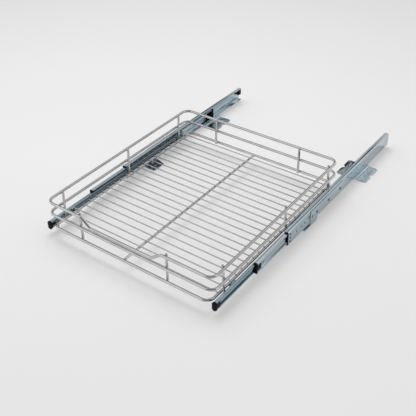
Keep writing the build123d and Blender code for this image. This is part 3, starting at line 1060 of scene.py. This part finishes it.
class ORGANIZER_OT_screws(bpy.types.Operator):
    """Model the clip screws with rounded heads and cross recesses"""

    bl_idname = "organizer.screws"
    bl_label = "Clip screws"

    def head(self, look, radius, height):
        """One screw head that looks up, with two crossing cuts in its crown."""
        screw = start_piece(
            "clip_screw",
            bpy.ops.mesh.primitive_cylinder_add,
            vertices=SCREW_SIDES,
            radius=radius,
            depth=height,
        )
        round_ends(screw, Vector(UP), radius * SCREW_CROWN, SCREW_ROUND_STEPS)
        cutters = [
            start_piece(
                "recess",
                bpy.ops.mesh.primitive_cube_add,
                size=1,
                location=(0, 0, height / 2),
                rotation=(0, 0, turn),
                scale=(radius * RECESS_SPAN, look.recess_width, look.recess_depth * 2),
            )
            for turn in (0, pi / 2)
        ]
        bpy.ops.object.select_all(action="DESELECT")
        screw.select_set(True)
        bpy.context.view_layer.objects.active = screw
        for cutter in cutters:
            cut = screw.modifiers.new("recess", "BOOLEAN")
            cut.operation = "DIFFERENCE"
            cut.object = cutter
            bpy.ops.object.modifier_apply(modifier=cut.name)
            bpy.data.objects.remove(cutter)
        bpy.ops.object.shade_smooth_by_angle(angle=SCREW_SMOOTH)
        return screw

    def execute(self, context):
        look = context.scene.organizer_slides
        for side_name, side in SIDES:
            node = f"{side_name}_clip_screws"
            low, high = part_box(node)
            radius = (high.z - low.z) / 2
            height = (high.x - low.x) * SCREW_HEAD
            screw = self.head(look, radius, height)
            inner_x = low.x if side > 0 else high.x
            middle_x = inner_x + side * height / 2
            middle_z = (low.z + high.z) / 2
            turned = Matrix.Rotation(-side * pi / 2, 4, "Y") @ Matrix.Rotation(RECESS_TURN, 4, "Z")
            places = [
                Matrix.Translation((middle_x, y, middle_z)) @ turned
                for y in (low.y + radius, high.y - radius)
            ]
            heads = copies_of(screw, f"{side_name}_clip_screw_heads", places)
            dress(heads, "basket", "fastener_plating", "fastener_steel", node)
        return {"FINISHED"}


class ORGANIZER_OT_stage(bpy.types.Operator):
    """Set the pale floor, the soft lamp, the room light and the camera"""

    bl_idname = "organizer.stage"
    bl_label = "Stage"

    def floor(self, look):
        """Pale floor with painted shade that darkens it further back, whose plain colour partly shows to the
        camera and in metal.
        """
        floor = start_piece("studio_floor", bpy.ops.mesh.primitive_plane_add, size=look.floor_size)
        paper = Finish("studio_paper", Roughness=0.9, Specular_IOR_Level=0.1)
        depth = paper.along((-sin(look.azimuth), cos(look.azimuth), 0))
        unevenness = 0.1
        reach = depth + unevenness * paper.noise(scale=3.0, detail=2.0)
        # Painted shade: the floor darkens towards its far colour further back
        fade = paper.sharpened(reach, low=look.fade_start, high=look.fade_end)
        colour = paper.blend(fade, look.floor_colour, look.floor_far)
        rays = [
            paper.node("ShaderNodeLightPath", output=f"Is {kind} Ray")
            for kind in ("Camera", "Glossy", "Transmission")
        ]
        lit = Value(paper, paper.shader.outputs["BSDF"])
        glow = paper.node("ShaderNodeEmission", inputs={"Color": colour}, output="Emission")
        inputs = {0: look.floor_glow * sum(rays), 1: lit, 2: glow}
        mixed = paper.node("ShaderNodeMixShader", inputs=inputs, output="Shader")
        paper.tree.links.new(mixed.socket, paper.tree.nodes["Material Output"].inputs["Surface"])
        floor.data.materials.append(paper.feed(Base_Color=colour))

    def lamp(self, look):
        """One large soft lamp overhead, turned to the origin and kept out of reflections."""
        bpy.ops.object.select_all(action="DESELECT")
        bpy.ops.object.light_add(type="AREA", location=look.key_place)
        lamp = bpy.context.active_object
        lamp.name = "key_lamp"
        lamp.data.shape = "SQUARE"
        lamp.data.size = look.key_size
        lamp.data.energy = look.key_power
        lamp.visible_glossy = False
        lamp.rotation_euler = pointing(look.key_place).to_euler()

    def room(self, scene, look):
        """Soft white light all round, plain near the horizon, with four dark places for metal to reflect."""
        scene.world = bpy.data.worlds.new("studio_room")
        room = Nodes(scene.world, "Background", "Generated", Color=WHITE)
        right, ahead = sin(look.azimuth), cos(look.azimuth)
        level, rise = cos(look.elevation), sin(look.elevation)
        ways = {
            "back_dark": BACK_WAY,
            "far_dark": (-right, ahead, 0),
            "side_dark": SIDE_WAY,
            "near_dark": (right * level, -ahead * level, rise),
        }
        low, high = HORIZON_BAND
        lift = room.sharpened(room.along(UP), low, high)
        strength = look.room_light * (look.horizon + (1 - look.horizon) * lift)
        for name, way in ways.items():
            reach, edge = DARK_REACHES[name]
            inside = room.sharpened(room.along(way), low=cos(reach + edge), high=cos(reach))
            strength = strength * (1 - getattr(look, name) * lift * inside)
        room.feed(Strength=strength)

    def camera(self, scene, look):
        """The camera at the photo's viewing angle."""
        camera = bpy.data.objects.new("photo_camera", bpy.data.cameras.new("photo_camera"))
        scene.collection.objects.link(camera)
        camera.data.sensor_width = SENSOR_WIDTH
        camera.data.lens = look.lens
        turn = (
            Matrix.Rotation(look.azimuth, 4, "Z")
            @ Matrix.Rotation(pi / 2 - look.elevation, 4, "X")
            @ Matrix.Rotation(look.roll, 4, "Z")
        )
        camera.matrix_world = Matrix.Translation(look.camera_place) @ turn
        scene.camera = camera

    def execute(self, context):
        scene = context.scene
        look = scene.organizer_stage
        self.floor(look)
        self.lamp(look)
        self.room(scene, look)
        scene.view_settings.view_transform = "Standard"
        self.camera(scene, look)
        return {"FINISHED"}


class ORGANIZER_PT_panel(bpy.types.Panel):
    """Lists the organizer's steps and sizes"""

    bl_label = "Cabinet organizer"
    bl_idname = "ORGANIZER_PT_panel"
    bl_space_type = "VIEW_3D"
    bl_region_type = "UI"
    bl_category = "Organizer"

    def draw(self, context):
        for operator in OPERATORS:
            self.layout.operator(operator.bl_idname)
        for name, group in GROUPS.items():
            box = self.layout.box()
            for setting in group.__annotations__:
                box.prop(getattr(context.scene, name), setting)


GROUPS = {"organizer_basket": BasketLook, "organizer_slides": SlideLook, "organizer_stage": StageLook}
OPERATORS = (
    ORGANIZER_OT_finishes,
    ORGANIZER_OT_rings,
    ORGANIZER_OT_posts,
    ORGANIZER_OT_floor,
    ORGANIZER_OT_welds,
    ORGANIZER_OT_plastics,
    ORGANIZER_OT_guide_studs,
    ORGANIZER_OT_sheet_metal,
    ORGANIZER_OT_screws,
    ORGANIZER_OT_stage,
)


def register():
    for cls in (*GROUPS.values(), *OPERATORS, ORGANIZER_PT_panel):
        bpy.utils.register_class(cls)
    for name, group in GROUPS.items():
        setattr(bpy.types.Scene, name, PointerProperty(type=group))


def unregister():
    for name in GROUPS:
        delattr(bpy.types.Scene, name)
    for cls in (ORGANIZER_PT_panel, *reversed(OPERATORS), *reversed(GROUPS.values())):
        bpy.utils.unregister_class(cls)


def main():
    register()
    bpy.ops.organizer.finishes()
    bpy.ops.organizer.rings()
    bpy.ops.organizer.posts()
    bpy.ops.organizer.floor_wires()
    bpy.ops.organizer.welds()
    bpy.ops.organizer.plastics()
    bpy.ops.organizer.guide_studs()
    bpy.ops.organizer.sheet_metal()
    bpy.ops.organizer.screws()
    bpy.ops.organizer.stage()


if __name__ == "__main__":
    main()
